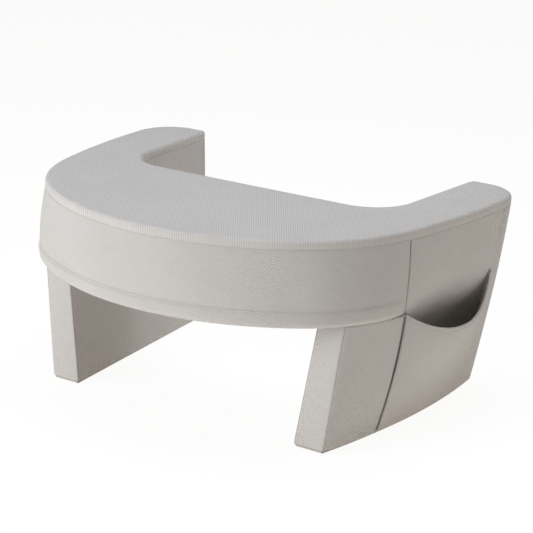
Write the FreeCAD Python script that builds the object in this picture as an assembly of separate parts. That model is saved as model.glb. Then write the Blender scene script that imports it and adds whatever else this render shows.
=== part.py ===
"""Upholstered crescent lap desk: a cushioned C-shaped top with a front apron on two leaning legs.

X runs across the desk, the convex front faces -Y, the user sits at +Y, Z is up.
The origin is under the middle of the desk, on the floor. All lengths are millimetres.
"""
import FreeCAD, Part
import math
import os

os.makedirs("parts", exist_ok=True)
V = FreeCAD.Vector

# Plan of the top
overall_width = 686.0
overall_depth = 510.0
overall_height = 319.0
front_half_sweep = 35.34
side_radius = 1000.0
widest_from_back = 60.0
side_seam_from_front = 220.0
waist_from_front = 280.0
waist_corner_radius = 66.0
arm_width = 93.0
arm_toe_out = 3.4
arm_outer_corner_radius = 62.0
arm_inner_corner_radius = 12.0

# Heights and layers
underside_height = 194.0
edge_roll_drop = 13.0
edge_roll_radius = 6.5
panel_thickness = 3.0
layer_gap = 0.3
pad_thickness = 14.0
board_thickness = 6.0
board_setback = 9.0
pad_setback = 4.3
cut_overrun = 20.0

# Apron
apron_bulge = 9.0
apron_tuck = 2.0
border_height = 26.0
border_proud = 0.8
border_turn = 9.0
apron_bulge_shares = (0.0, 0.45, 0.85, 1.0)
border_turn_shares = (1.0, 0.35, 0.0)
border_bulge_shares = (0.95, 0.55, 0.0)

# Legs, at the floor and at the underside of the top, set in from the top's sides, front and back
leg_front_floor_setback = 113.0
leg_front_setback = 126.0
leg_inner_floor_inset = 145.0
leg_inner_back_floor_inset = 105.0
leg_outer_floor_inset = 94.0
leg_outer_inset = 71.0
leg_outer_floor_bow = 1.5
leg_outer_bow = 5.0
leg_seam_floor_inset = 75.0
leg_seam_inset = 32.0
leg_wide_floor_inset = 66.0
leg_wide_inset = 20.0
leg_back_floor_setback = 4.0
leg_outer_corner_floor_radius = 18.0
leg_outer_corner_radius = 50.0
leg_inner_corner_floor_radius = 10.0
plug_inset = 12.0
foot_thickness = 3.0
foot_edge_round = 5.0
foot_edge_height = 8.0
leg_level_shares = (0.2, 0.4, 0.6, 0.8, 1.0)

# Pocket and the hollow behind it
pocket_seam_from_back = 71.0
pocket_thickness = 2.2
pocket_bulge = 27.0
pocket_bottom = 9.0
niche_depth = 36.0
mouth_front_rise = 1.0
mouth_back_rise = 15.0
mouth_low_drop = 40.0
mouth_low_share = 0.58
niche_rise = 56.0
niche_upper_share = 0.5
pocket_bulge_shares = (0.0, 0.2, 0.65, 1.0, 1.0)

# Cover zip in the lining
zip_from_front = 175.0
zip_end_clearance = 18.1
zip_slot_width = 11.0
tape_width = 12.0
tape_thickness = 0.8
tooth_pitch = 4.0
tooth_length = 1.9
tooth_reach = 2.6
tooth_height = 2.4
chain_slit = 1.6
stop_length = 3.0
channel_width = 40.0
channel_height = 8.0
slider_length = 13.0
slider_width = 9.0
slider_plate = 1.2
slider_clearance = 0.5
neck_length = 2.5
neck_width = 0.9
lug_length = 3.2
lug_thickness = 1.1
lug_drop = 3.4
lug_gap = 4.2
slider_nose_share = 0.6
pull_pin_radius = 0.6
pull_eye_clearance = 0.2
pull_eye_wall = 0.7
pull_length = 20.0
pull_width = 7.5
pull_thickness = 1.6
pull_neck_width = 3.6
pull_neck_length = 5.0
pull_corner = 2.5

# Derived places
half_width = overall_width / 2
half_depth = overall_depth / 2
top_front_y = apron_bulge + border_proud - half_depth
widest_y = half_depth - widest_from_back
side_seam_y = side_seam_from_front - half_depth
waist_y = waist_from_front - half_depth
pocket_seam_y = half_depth - pocket_seam_from_back
mouth_low_y = side_seam_y + (pocket_seam_y - side_seam_y) * mouth_low_share
leg_front_y = leg_front_setback - half_depth
arm_inner_x = half_width - arm_width
zip_y = zip_from_front - half_depth
seam_height = overall_height - edge_roll_drop
pad_top = overall_height - panel_thickness - layer_gap
board_top = pad_top - pad_thickness
core_top = board_top - board_thickness
lining_top = underside_height + panel_thickness
skin_inset = panel_thickness + layer_gap
hem_height = underside_height + border_height
mouth_front_height = underside_height + mouth_front_rise
mouth_back_height = underside_height + mouth_back_rise
mouth_low_height = underside_height - mouth_low_drop
niche_top = underside_height + niche_rise
toe_slope = math.tan(math.radians(arm_toe_out))


# Flat outlines: lists of (start, middle or None, end), counter-clockwise, with arcs through a middle point
def point(x, y):
    return V(x, y, 0)


def arc_centre(start, middle, end):
    first = middle - start
    second = end - start
    cross = first.x * second.y - first.y * second.x
    first_square = first.dot(first) / (2 * cross)
    second_square = second.dot(second) / (2 * cross)
    along_x = second.y * first_square - first.y * second_square
    along_y = first.x * second_square - second.x * first_square
    return start + point(along_x, along_y)


def right_of(direction):
    length = direction.Length
    return point(direction.y / length, -direction.x / length)


def outward_normals(segment):
    """Unit normals to the right of the path at a segment's start, middle and end."""
    start, middle, end = segment
    if middle is None:
        normal = right_of(end - start)
        return normal, normal, normal
    centre = arc_centre(start, middle, end)
    towards_end = right_of(end - start)
    normals = []
    for place in segment:
        normal = place - centre
        normal.normalize()
        normals.append(normal)
    if normals[1].dot(towards_end) < 0:
        normals = [normal * -1 for normal in normals]
    return tuple(normals)


def inset(outline, depth):
    """A closed outline moved inwards by depth, with mitred corners."""
    normals = [outward_normals(segment) for segment in outline]
    corners = []
    for index, segment in enumerate(outline):
        before = normals[index - 1][2]
        after = normals[index][0]
        mitre = (before + after) * (1 / (1 + before.dot(after)))
        corners.append(segment[0] - mitre * depth)
    moved = []
    for index, segment in enumerate(outline):
        middle = segment[1]
        if middle is not None:
            middle = middle - normals[index][1] * depth
        moved.append((corners[index], middle, corners[(index + 1) % len(outline)]))
    return moved


def reverse(path):
    return [(end, middle, start) for start, middle, end in reversed(path)]


def mirror_x(path):
    """The path's mirror image in the desk's middle plane, still counter-clockwise."""
    def flip(place):
        return None if place is None else point(-place.x, place.y)
    return [tuple(flip(place) for place in segment) for segment in reverse(path)]


def wire_at(path, height):
    lift = V(0, 0, height)
    edges = []
    for start, middle, end in path:
        if middle is None:
            edges.append(Part.LineSegment(start + lift, end + lift).toShape())
        else:
            edges.append(Part.Arc(start + lift, middle + lift, end + lift).toShape())
    return Part.Wire(edges)


def band(outer, inner):
    """Closed outline of a strip between two paths that run the same way."""
    back = reverse(inner)
    return outer + [(outer[-1][2], None, back[0][0])] + back + [(back[-1][2], None, outer[0][0])]


def prism(path, low, high):
    return Part.Face(wire_at(path, low)).extrude(V(0, 0, high - low))


def loft(levels):
    """Ruled solid through (height, outline) pairs."""
    wires = [wire_at(path, height) for height, path in levels]
    return Part.makeLoft(wires, True, True)


def block(low, high):
    size = high - low
    return Part.makeBox(size.x, size.y, size.z, low)


# Leg and arm outlines
def mix(low, high, share):
    return low + (high - low) * share


def through_three(floor, underside, seam, height):
    """Value on the parabola through the floor, underside and top-seam values."""
    low = height / underside_height
    top = seam_height / underside_height
    at_floor = floor * (low - 1) * (low - top) / top
    at_underside = underside * low * (low - top) / (1 - top)
    at_seam = seam * low * (low - 1) / (top * (top - 1))
    return at_floor + at_underside + at_seam


def inner_line_x(y):
    """The arm's inner side, which toes out towards the user."""
    return arm_inner_x - (half_depth - y) * toe_slope


zip_length = 2 * (inner_line_x(zip_y) - tape_width - zip_end_clearance)
side_centre_x = half_width - side_radius
seam_top_x = side_centre_x + math.sqrt(side_radius ** 2 - (side_seam_y - widest_y) ** 2)


def on_circle(centre, radius, towards):
    direction = towards - centre
    direction.normalize()
    return centre + direction * radius


def arc_middle(centre, radius, start, end):
    return on_circle(centre, radius, (start + end) * 0.5)


def leg_outline(height, hollow=0.0):
    """Right leg at a height: front, outer front, side in two lengths, corner, back, corner, inner side."""
    share = min(height / underside_height, 1)
    front_y = mix(leg_front_floor_setback, leg_front_setback, share) - half_depth
    back_y = half_depth - mix(leg_back_floor_setback, 0, share)
    front_inner = point(mix(half_width - leg_inner_floor_inset, inner_line_x(leg_front_y), share), front_y)
    inner_back = point(mix(half_width - leg_inner_back_floor_inset, arm_inner_x, share), half_depth)
    front_outer = point(half_width - mix(leg_outer_floor_inset, leg_outer_inset, share), front_y)
    seam_inset = through_three(leg_seam_floor_inset, leg_seam_inset, half_width - seam_top_x, height)
    wide_inset = through_three(leg_wide_floor_inset, leg_wide_inset, 0, height)
    seam = point(half_width - seam_inset, side_seam_y)
    wide = point(half_width - wide_inset, widest_y)
    chord = wide - seam
    rise = math.sqrt(side_radius ** 2 - chord.dot(chord) / 4)
    centre = (seam + wide) * 0.5 - right_of(chord) * rise

    pocket_x = centre.x + math.sqrt(side_radius ** 2 - (pocket_seam_y - centre.y) ** 2)
    pocket = point(pocket_x, pocket_seam_y)
    side_middle = arc_middle(centre, side_radius, seam, pocket) - right_of(pocket - seam) * hollow

    radius = through_three(leg_outer_corner_floor_radius, leg_outer_corner_radius,
                           arm_outer_corner_radius, height)
    corner_y = back_y - radius
    corner_x = centre.x + math.sqrt((side_radius - radius) ** 2 - (corner_y - centre.y) ** 2)
    corner = point(corner_x, corner_y)
    corner_start = on_circle(centre, side_radius, corner)
    corner_end = point(corner_x, back_y)

    inner_radius = mix(leg_inner_corner_floor_radius, arm_inner_corner_radius, share)
    into_leg = right_of(inner_back - front_inner)
    inner_y = back_y - inner_radius
    inner_x = front_inner.x + (inner_radius - into_leg.y * (inner_y - front_inner.y)) / into_leg.x
    inner_corner = point(inner_x, inner_y)
    inner_start = point(inner_x, back_y)
    inner_end = inner_corner - into_leg * inner_radius

    bow = mix(leg_outer_floor_bow, leg_outer_bow, share)
    outer_middle = (front_outer + seam) * 0.5 + right_of(seam - front_outer) * bow
    return [
        (front_inner, None, front_outer),
        (front_outer, outer_middle, seam),
        (seam, side_middle, pocket),
        (pocket, arc_middle(centre, side_radius, pocket, corner_start), corner_start),
        (corner_start, arc_middle(corner, radius, corner_start, corner_end), corner_end),
        (corner_end, None, inner_start),
        (inner_start, arc_middle(inner_corner, inner_radius, inner_start, inner_end), inner_end),
        (inner_end, None, front_inner),
    ]


# Crescent outline of the top: front, shoulder, side, arm end, inner side, waist corner, waist and mirror
def crescent_outline():
    """The front and shoulder arcs run into each other and into the side, and meet at the front's half sweep."""
    arm = leg_outline(seam_height)
    seam = arm[1][2]
    side_centre = point(side_centre_x, widest_y)
    side_normal = (seam - side_centre) * (1 / side_radius)
    sweep = math.radians(front_half_sweep)
    join_normal = point(math.sin(sweep), -math.cos(sweep))
    turn = side_normal - join_normal
    front_rise = 1 + join_normal.y
    seam_depth = seam.y - top_front_y
    scale = join_normal.x * turn.y - turn.x * front_rise
    front_radius = (seam.x * turn.y - seam_depth * turn.x) / scale
    shoulder_radius = (seam_depth * join_normal.x - seam.x * front_rise) / scale
    shoulder_centre = seam - side_normal * shoulder_radius
    shoulder_start = shoulder_centre + join_normal * shoulder_radius
    corner_start = arm[4][0]

    into_arm = outward_normals(arm[7])[0] * -1
    waist_centre_y = waist_y + waist_corner_radius
    inner_end = arm[7][0]
    waist_x = inner_end.x - (waist_corner_radius + into_arm.y * (waist_centre_y - inner_end.y)) / into_arm.x
    waist_centre = point(waist_x, waist_centre_y)
    waist_start = waist_centre + into_arm * waist_corner_radius
    waist_end = point(waist_x, waist_y)
    right = [
        (shoulder_start, arc_middle(shoulder_centre, shoulder_radius, shoulder_start, seam), seam),
        (seam, arc_middle(side_centre, side_radius, seam, corner_start), corner_start),
        arm[4],
        arm[5],
        arm[6],
        (inner_end, None, waist_start),
        (waist_start, arc_middle(waist_centre, waist_corner_radius, waist_start, waist_end), waist_end),
    ]
    left_start = point(-shoulder_start.x, shoulder_start.y)
    front = (left_start, point(0, top_front_y), shoulder_start)
    waist = (waist_end, None, point(-waist_end.x, waist_end.y))
    return [front] + right + [waist] + mirror_x(right)


crescent = crescent_outline()
front_arc = crescent[0]
shoulder_arc = crescent[1]
bay_path = crescent[6:11]


# Top: rolled panel, pad and board
def rolled_cap(outline, low, high, roll):
    cap = prism(outline, low, high)
    rim = [edge for edge in cap.Edges if edge.BoundBox.ZMin > (low + high) / 2]
    return cap.makeFillet(roll, rim)


def top_panel():
    inside = inset(crescent, panel_thickness)
    hollow_top = overall_height - panel_thickness
    outside = rolled_cap(crescent, seam_height, overall_height, edge_roll_radius)
    hollow = rolled_cap(inside, board_top, hollow_top, edge_roll_radius - panel_thickness)
    return outside.cut(hollow)


def top_pad():
    return rolled_cap(inset(crescent, pad_setback), board_top, pad_top, edge_roll_radius - pad_setback)


def stiffener_board():
    return prism(inset(crescent, board_setback), core_top, board_top)


# Front apron and its turned lower border
def apron_path(height, bulge, depth=0.0):
    """Apron line at a height from the left seam to the right, bulged out in front and moved in by depth."""
    seam = leg_outline(height)[1][2]
    push = bulge - depth
    start_normal, middle_normal, _ = outward_normals(shoulder_arc)
    shoulder_start = shoulder_arc[0] + start_normal * push
    seam_shift = point((seam.x - shoulder_arc[2].x) / 2, 0)
    shoulder_middle = shoulder_arc[1] + middle_normal * push + seam_shift
    right = [(shoulder_start, shoulder_middle, point(seam.x - depth, side_seam_y))]
    left_start = point(-shoulder_start.x, shoulder_start.y)
    front = (left_start, point(0, top_front_y - push), shoulder_start)
    return mirror_x(right) + [front] + right


def apron_levels():
    count = len(apron_bulge_shares) - 1
    levels = []
    for index, share in enumerate(apron_bulge_shares):
        height = mix(seam_height, hem_height, index / count)
        levels.append((height, apron_bulge * share))
    return levels


def border_levels():
    levels = [(hem_height, apron_bulge + border_proud)]
    for turn_share, bulge_share in zip(border_turn_shares, border_bulge_shares):
        height = underside_height + border_turn * turn_share
        bulge = mix(-apron_tuck, apron_bulge + border_proud, bulge_share)
        levels.append((height, bulge))
    return levels


def apron_strip(levels):
    sections = []
    for height, bulge in levels:
        outer = apron_path(height, bulge)
        inner = apron_path(height, bulge, panel_thickness)
        sections.append((height, band(outer, inner)))
    return loft(sections)


def front_apron():
    return apron_strip(apron_levels())


def apron_border():
    return apron_strip(border_levels())


# Bay wall, lining and slab core
def bay_panel():
    inner = inset(crescent, panel_thickness)[6:11]
    return prism(band(bay_path, inner), underside_height, seam_height)


def slab_outline(height, bulge):
    """Foam behind the apron, up to the side seams, the arms' inner sides and the waist."""
    front = apron_path(height, bulge, skin_inset)
    bay = inset(crescent, skin_inset)[6:11]
    step = skin_inset / math.cos(math.radians(arm_toe_out))
    arm_start = point(inner_line_x(side_seam_y) + step, side_seam_y)
    waist_start = bay[0][2]
    right = [(front[-1][2], None, arm_start), (arm_start, None, waist_start), bay[1]]
    return front + right + [bay[2]] + mirror_x(right)


def slab_core():
    levels = [(lining_top, -apron_tuck)]
    levels.append((underside_height + border_turn, apron_bulge * border_bulge_shares[0]))
    for height, bulge in reversed(apron_levels()):
        if height < core_top:
            levels.append((height, bulge))
    levels.append((core_top, 0))
    core = loft(levels_to_outlines(levels))
    channel_end = zip_length / 2 + channel_width
    channel = block(V(-channel_end, zip_y - channel_width / 2, lining_top - cut_overrun),
                    V(channel_end, zip_y + channel_width / 2, lining_top + channel_height))
    return core.cut(channel)


def levels_to_outlines(levels):
    return [(height, slab_outline(height, bulge)) for height, bulge in levels]


def underside_lining():
    sheet = prism(slab_outline(underside_height, -apron_tuck), underside_height, lining_top)
    leg = inset(leg_outline(underside_height), panel_thickness)
    corner = leg[0][0]
    back = leg[7][0]
    out_x = half_width + cut_overrun
    leg_hole = [
        (corner, None, point(out_x, corner.y)),
        (point(out_x, corner.y), None, point(out_x, back.y)),
        (point(out_x, back.y), None, back),
        (back, None, corner),
    ]
    low = underside_height - cut_overrun
    high = lining_top + cut_overrun
    slot = block(V(-zip_length / 2, zip_y - zip_slot_width / 2, low),
                 V(zip_length / 2, zip_y + zip_slot_width / 2, high))
    cutters = [prism(leg_hole, low, high), prism(mirror_x(leg_hole), low, high), slot]
    return sheet.cut(cutters)


# Legs: soles, foam and cover panels
def leg_heights():
    steps = [foot_thickness, foot_edge_height]
    steps += [underside_height * share for share in leg_level_shares]
    steps += [mix(underside_height, niche_top, niche_upper_share), niche_top, seam_height]
    return steps


def niche_at(height):
    """Depth of the hollow behind the pocket, fading out towards the floor and above the mouth."""
    share = (height - foot_edge_height) / (niche_top - foot_edge_height)
    share = min(max(share, 0), 1)
    return niche_depth * math.sin(math.pi * share) ** 2


def leg_levels(pocket_side, highest):
    """(height, outline) pairs from the sole up, with the rounded foot edge and the hollow at the pocket."""
    levels = []
    for height in leg_heights():
        if height > highest:
            continue
        outline = leg_outline(height, niche_at(height) * pocket_side)
        if height < foot_edge_height:
            outline = inset(outline, foot_edge_round * (1 - foot_thickness / foot_edge_height) / 2)
        levels.append((height, outline))
    return levels


def leg_panel(pocket_side, first, last, highest):
    """Cover panel over the outline's segments first to last."""
    sections = []
    for height, outline in leg_levels(pocket_side, highest):
        inner = inset(outline, panel_thickness)
        sections.append((height, band(outline[first:last], inner[first:last])))
    return loft(sections)


def arm_section(outline):
    """The part of a leg outline behind the side seam, inside the cover with a little room to spare."""
    depth = skin_inset + layer_gap
    moved = inset(outline, depth)
    step = depth / math.cos(math.radians(arm_toe_out))
    start = point(inner_line_x(side_seam_y) + step, side_seam_y)
    seam = point(moved[2][0].x, side_seam_y)
    side = (seam, moved[2][1], moved[2][2])
    return [(start, None, seam), side] + moved[3:7] + [(moved[7][0], None, start)]


def plug_outline(outline):
    """The part of a leg outline in front of the side seam, for the foam that goes through the lining."""
    front, outer = outline[:2]
    inner = point(inner_line_x(side_seam_y), side_seam_y)
    return inset([front, outer, (outer[2], None, inner), (inner, None, front[0])], plug_inset)


def leg_core(pocket_side):
    lower = []
    upper = []
    for height, outline in leg_levels(pocket_side, core_top) + [(core_top, leg_outline(core_top))]:
        if height <= underside_height:
            lower.append((height, inset(outline, skin_inset)))
        if height >= underside_height:
            upper.append((height, arm_section(outline)))
    plug = prism(plug_outline(leg_outline(underside_height)), underside_height, lining_top)
    return loft(lower).fuse([plug, loft(upper)]).removeSplitter()


def foot_pad():
    sole = leg_levels(0, foot_thickness)[0][1]
    return loft([(0, inset(sole, foot_edge_round / 2)), (foot_thickness, sole)])


def mirrored(shape):
    return shape.mirror(V(0, 0, 0), V(1, 0, 0))


# Patch pocket over the right side panel
def pocket_strip(height, bulge):
    side = leg_outline(height)
    outward = inset(side, -layer_gap)[2]
    outer = inset(side, -layer_gap - pocket_thickness)[2]
    push = right_of(outward[2] - outward[0]) * bulge
    inner_path = [(outward[0], outward[1] + push, outward[2])]
    outer_path = [(outer[0], outer[1] + push, outer[2])]
    return band(outer_path, inner_path)


def right_pocket():
    count = len(pocket_bulge_shares) - 1
    top = mouth_back_height + cut_overrun
    sections = []
    for index, share in enumerate(pocket_bulge_shares):
        height = mix(pocket_bottom, top, index / count)
        sections.append((height, pocket_strip(height, pocket_bulge * share)))
    reach = overall_width
    front = V(0, side_seam_y, mouth_front_height)
    low = V(0, mouth_low_y, mouth_low_height)
    back = V(0, pocket_seam_y, mouth_back_height)
    mouth = [mouth_arc(low, front), mouth_arc(low, back)]
    ends = [front - V(0, cut_overrun, 0), back + V(0, cut_overrun, 0)]
    roof = [V(0, end.y, top + cut_overrun) for end in ends]
    lines = [(front, ends[0]), (ends[0], roof[0]), (roof[0], roof[1]), (roof[1], ends[1]), (ends[1], back)]
    edges = mouth + [Part.LineSegment(start, end).toShape() for start, end in lines]
    opening = Part.Face(Part.Wire(Part.sortEdges(edges)[0])).extrude(V(reach, 0, 0))
    return loft(sections).cut(opening)


def mouth_arc(low, end):
    """Arc from the mouth's lowest point, level there, up to one end."""
    across = end.y - low.y
    rise = end.z - low.z
    radius = (across ** 2 + rise ** 2) / (2 * rise)
    centre = V(0, low.y, low.z + radius)
    half_way = (low + end) * 0.5 - centre
    half_way.normalize()
    return Part.Arc(low, centre + half_way * radius, end).toShape()


# Cover zip, closed, with its slider at the right end
tape_low = lining_top
tape_high = tape_low + tape_thickness
chain_middle = tape_low + tape_thickness / 2
row_start = chain_slit / 2
row_end = row_start + tooth_reach


def both_sides(shape):
    """A shape and its mirror image across the zip's middle line."""
    return [shape, shape.mirror(V(0, zip_y, 0), V(0, 1, 0))]


def zip_tapes():
    end = zip_length / 2 + tape_width
    tape = block(V(-end, zip_y + row_end, tape_low), V(end, zip_y + row_end + tape_width, tape_high))
    return Part.makeCompound(both_sides(tape))


def zip_teeth():
    first = -zip_length / 2 + stop_length + tooth_pitch
    last = zip_length / 2 - stop_length - tooth_pitch
    count = int((last - first) / tooth_pitch) + 1
    teeth = []
    for index in range(count):
        x = first + index * tooth_pitch
        tooth = block(V(x, zip_y + row_start, chain_middle - tooth_height / 2),
                      V(x + tooth_length, zip_y + row_end, chain_middle + tooth_height / 2))
        teeth += both_sides(tooth)
    return Part.makeCompound(teeth)


def zip_stops():
    low = chain_middle - tooth_height / 2
    high = chain_middle + tooth_height / 2
    stops = []
    for x in (-zip_length / 2, zip_length / 2 - stop_length):
        stop = block(V(x, zip_y + row_start, low), V(x + stop_length, zip_y + row_end, high))
        stops += both_sides(stop)
    return Part.makeCompound(stops)


slider_end_x = zip_length / 2 - stop_length - slider_clearance
slider_x = slider_end_x - slider_length
plate_top = chain_middle - tooth_height / 2 - slider_clearance
plate_low = plate_top - slider_plate
cap_low = chain_middle + tooth_height / 2 + slider_clearance
pin_x = slider_x + slider_length / 2
pin_z = plate_low - lug_drop + pull_pin_radius * 2


def slider_plan(width, length):
    """Shield-shaped plate, narrower towards the closed end."""
    half = width / 2
    nose = half * slider_nose_share
    taper_x = slider_x + length * slider_nose_share
    places = [point(slider_x, zip_y - half), point(taper_x, zip_y - half),
              point(slider_x + length, zip_y - nose), point(slider_x + length, zip_y + nose),
              point(taper_x, zip_y + half), point(slider_x, zip_y + half)]
    return [(places[index], None, places[(index + 1) % len(places)]) for index in range(len(places))]


def zip_slider():
    plan = slider_plan(slider_width, slider_length)
    plate = prism(plan, plate_low, plate_top)
    cap = prism(plan, cap_low, cap_low + slider_plate)
    neck_end = slider_end_x - slider_plate
    neck = block(V(neck_end - neck_length, zip_y - neck_width / 2, plate_low),
                 V(neck_end, zip_y + neck_width / 2, cap_low + slider_plate))
    lug = block(V(pin_x - lug_length / 2, zip_y + lug_gap / 2, plate_low - lug_drop),
                V(pin_x + lug_length / 2, zip_y + lug_gap / 2 + lug_thickness, plate_low))
    pin = Part.makeCylinder(pull_pin_radius, lug_gap + lug_thickness * 2,
                            V(pin_x, zip_y - lug_gap / 2 - lug_thickness, pin_z), V(0, 1, 0))
    return plate.fuse([cap, neck, pin] + both_sides(lug)).removeSplitter()


def zip_pull():
    """Flat tab hanging from the slider's pin, with a narrow neck between the lugs."""
    eye = pull_pin_radius + pull_eye_clearance
    shoulder = pin_z - pull_neck_length
    low = pin_z - pull_length
    across = V(0, 1, 0)
    head = Part.makeCylinder(eye + pull_eye_wall, pull_neck_width,
                             V(pin_x, zip_y - pull_neck_width / 2, pin_z), across)
    neck = block(V(pin_x - pull_thickness / 2, zip_y - pull_neck_width / 2, shoulder - pull_thickness),
                 V(pin_x + pull_thickness / 2, zip_y + pull_neck_width / 2, pin_z))
    tab = block(V(pin_x - pull_thickness / 2, zip_y - pull_width / 2, low),
                V(pin_x + pull_thickness / 2, zip_y + pull_width / 2, shoulder))
    corners = [edge for edge in tab.Edges if edge.BoundBox.XLength > pull_thickness / 2]
    tab = tab.makeFillet(pull_corner, corners)
    hole = Part.makeCylinder(eye, pull_width * 2, V(pin_x, zip_y - pull_width, pin_z), across)
    return head.fuse([neck, tab]).cut(hole).removeSplitter()


pieces = {
    "top_panel": top_panel(),
    "top_pad": top_pad(),
    "stiffener_board": stiffener_board(),
    "slab_core": slab_core(),
    "front_apron": front_apron(),
    "apron_border": apron_border(),
    "bay_panel": bay_panel(),
    "underside_lining": underside_lining(),
    "right_pocket": right_pocket(),
    "zip_tapes": zip_tapes(),
    "zip_teeth": zip_teeth(),
    "zip_stops": zip_stops(),
    "zip_slider": zip_slider(),
    "zip_pull": zip_pull(),
}
for side, pocket_side in (("right", 1), ("left", 0)):
    leg_pieces = {
        "leg_core": leg_core(pocket_side),
        "foot_pad": foot_pad(),
        "leg_front_panel": leg_panel(pocket_side, 0, 1, underside_height),
        "leg_outer_panel": leg_panel(pocket_side, 1, 2, underside_height),
        "side_panel": leg_panel(pocket_side, 2, 7, seam_height),
        "leg_inner_panel": leg_panel(pocket_side, 7, 8, underside_height),
    }
    for name, shape in leg_pieces.items():
        pieces[side + "_" + name] = shape if side == "right" else mirrored(shape)

for name, shape in pieces.items():
    shape.exportStep("parts/" + name + ".step")
    box = shape.BoundBox
    print("%-22s solids %3d  valid %s  volume %9.0f  z %.1f to %.1f" % (
        name, len(shape.Solids), shape.isValid(), shape.Volume, box.ZMin, box.ZMax))
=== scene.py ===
import math

import bmesh
import bpy
import numpy as np
from mathutils import Matrix, Vector


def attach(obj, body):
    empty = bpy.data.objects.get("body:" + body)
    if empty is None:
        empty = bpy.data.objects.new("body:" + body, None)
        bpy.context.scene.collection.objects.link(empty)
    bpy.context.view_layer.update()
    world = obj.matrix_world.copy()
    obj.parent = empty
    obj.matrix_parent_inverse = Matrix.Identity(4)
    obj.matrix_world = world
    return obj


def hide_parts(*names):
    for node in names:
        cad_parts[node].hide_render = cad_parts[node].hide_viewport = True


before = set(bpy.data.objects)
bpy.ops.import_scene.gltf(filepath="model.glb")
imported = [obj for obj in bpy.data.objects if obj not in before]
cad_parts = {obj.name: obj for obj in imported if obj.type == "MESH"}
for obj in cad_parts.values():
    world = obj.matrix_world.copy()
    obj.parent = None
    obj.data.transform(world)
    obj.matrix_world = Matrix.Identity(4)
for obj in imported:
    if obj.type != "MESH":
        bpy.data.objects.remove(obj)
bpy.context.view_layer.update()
scene = bpy.context.scene
scene.view_settings.view_transform = "Standard"

# Camera: in front of the desk, to its right and a little above, as far off as the product picture
# was taken from. It is turned by about one degree.
azimuth, elevation, roll = (math.radians(angle) for angle in (34.475, 17.726, 1.091))
level_right = Vector((math.cos(azimuth), math.sin(azimuth), 0.0))
backwards = Vector((math.sin(azimuth) * math.cos(elevation), -math.cos(azimuth) * math.cos(elevation),
                    math.sin(elevation)))
level_up = backwards.cross(level_right)
turned_right = level_right * math.cos(roll) + level_up * math.sin(roll)
turned_up = level_up * math.cos(roll) - level_right * math.sin(roll)
lens = bpy.data.cameras.new("camera")
lens.lens = 127.67
lens.sensor_width = 36.0
lens.clip_end = 100.0
camera = bpy.data.objects.new("camera", lens)
scene.collection.objects.link(camera)
camera.matrix_world = Matrix.Translation((1.5692, -2.2130, 1.0633)) @ Matrix(
    (turned_right, turned_up, backwards)).transposed().to_4x4()
scene.camera = camera


# Foam and board: the stuffing that the cover is drawn over. Legs, slab and top pad are open-cell foam,
# and a thin plywood crescent lies between the slab and the pad. They are the source's own solids.
class Shade:
    """A socket in a material's nodes: operators on it add Math nodes, and add() makes any other node."""

    def __init__(self, tree, socket=None):
        self.tree = tree
        self.socket = socket

    def add(self, kind, inputs, out=0, stops=(), **settings):
        made = self.tree.nodes.new(kind)
        for key, value in settings.items():
            setattr(made, key, value)
        while stops and len(made.color_ramp.elements) < len(stops):
            made.color_ramp.elements.new(0.5)
        for index, (place, colour) in enumerate(stops):
            made.color_ramp.elements[index].position = place
            made.color_ramp.elements[index].color = (*colour, 1.0)
        for key, value in inputs.items():
            if isinstance(value, Shade):
                self.tree.links.new(value.socket, made.inputs[key])
            else:
                made.inputs[key].default_value = value
        return Shade(self.tree, made.outputs[out])

    def sum(self, operation, first, second=0.0):
        return self.add("ShaderNodeMath", {0: first, 1: second}, operation=operation)

    def __add__(self, other):
        return self.sum("ADD", self, other)

    def __sub__(self, other):
        return self.sum("SUBTRACT", self, other)

    def __rsub__(self, other):
        return self.sum("SUBTRACT", other, self)

    def __mul__(self, other):
        return self.sum("MULTIPLY", self, other)

    __radd__ = __add__
    __rmul__ = __mul__

    def wave(self, length):
        """Ridges from 0 to 1, one for each length along this value."""
        return self.sum("SINE", self * (2 * math.pi / length)) * 0.5 + 0.5

    def clouds(self, place, scale, detail=2.0):
        return self.add("ShaderNodeTexNoise", {"Vector": place, "Scale": scale, "Detail": detail})

    def between(self, share, low, high):
        return self.add("ShaderNodeMix", {0: share, 6: (*low, 1.0), 7: (*high, 1.0)}, out=2, data_type="RGBA")

    def ramp(self, share, *stops):
        """Colour along a row of (place, colour) stops."""
        return self.add("ShaderNodeValToRGB", {"Fac": share}, stops=stops)

    def finish(self, colour, rough, height, depth, **fixed):
        """Sends colour, roughness and a bump of this depth in metres to the surface."""
        bump = self.add("ShaderNodeBump", {"Height": height, "Distance": depth, "Strength": 1.0})
        surface = self.tree.nodes["Principled BSDF"]
        for name, value in (("Base Color", colour), ("Roughness", rough), ("Normal", bump)):
            self.tree.links.new(value.socket, surface.inputs[name])
        for name, value in fixed.items():
            surface.inputs[name.replace("_", " ")].default_value = value


def new_material(name):
    material = bpy.data.materials.new(name)
    material.use_nodes = True
    return material, Shade(material.node_tree)


def object_place(shade):
    return shade.add("ShaderNodeTexCoord", {}, out=3)


def dress(node, material):
    """Gives one of the source's own solids its material."""
    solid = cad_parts[node]
    solid.data.materials.clear()
    solid.data.materials.append(material)


foam, shade = new_material("open_cell_foam")
place = object_place(shade)
cells = shade.add("ShaderNodeTexVoronoi", {"Vector": place, "Scale": 420.0})
patches = shade.clouds(place, 9.0)
shade.finish(shade.between(cells * 0.7 + patches * 0.5, (0.50, 0.44, 0.30), (0.78, 0.73, 0.58)),
             cells * 0.1 + 0.85, cells, 0.0008)

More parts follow.
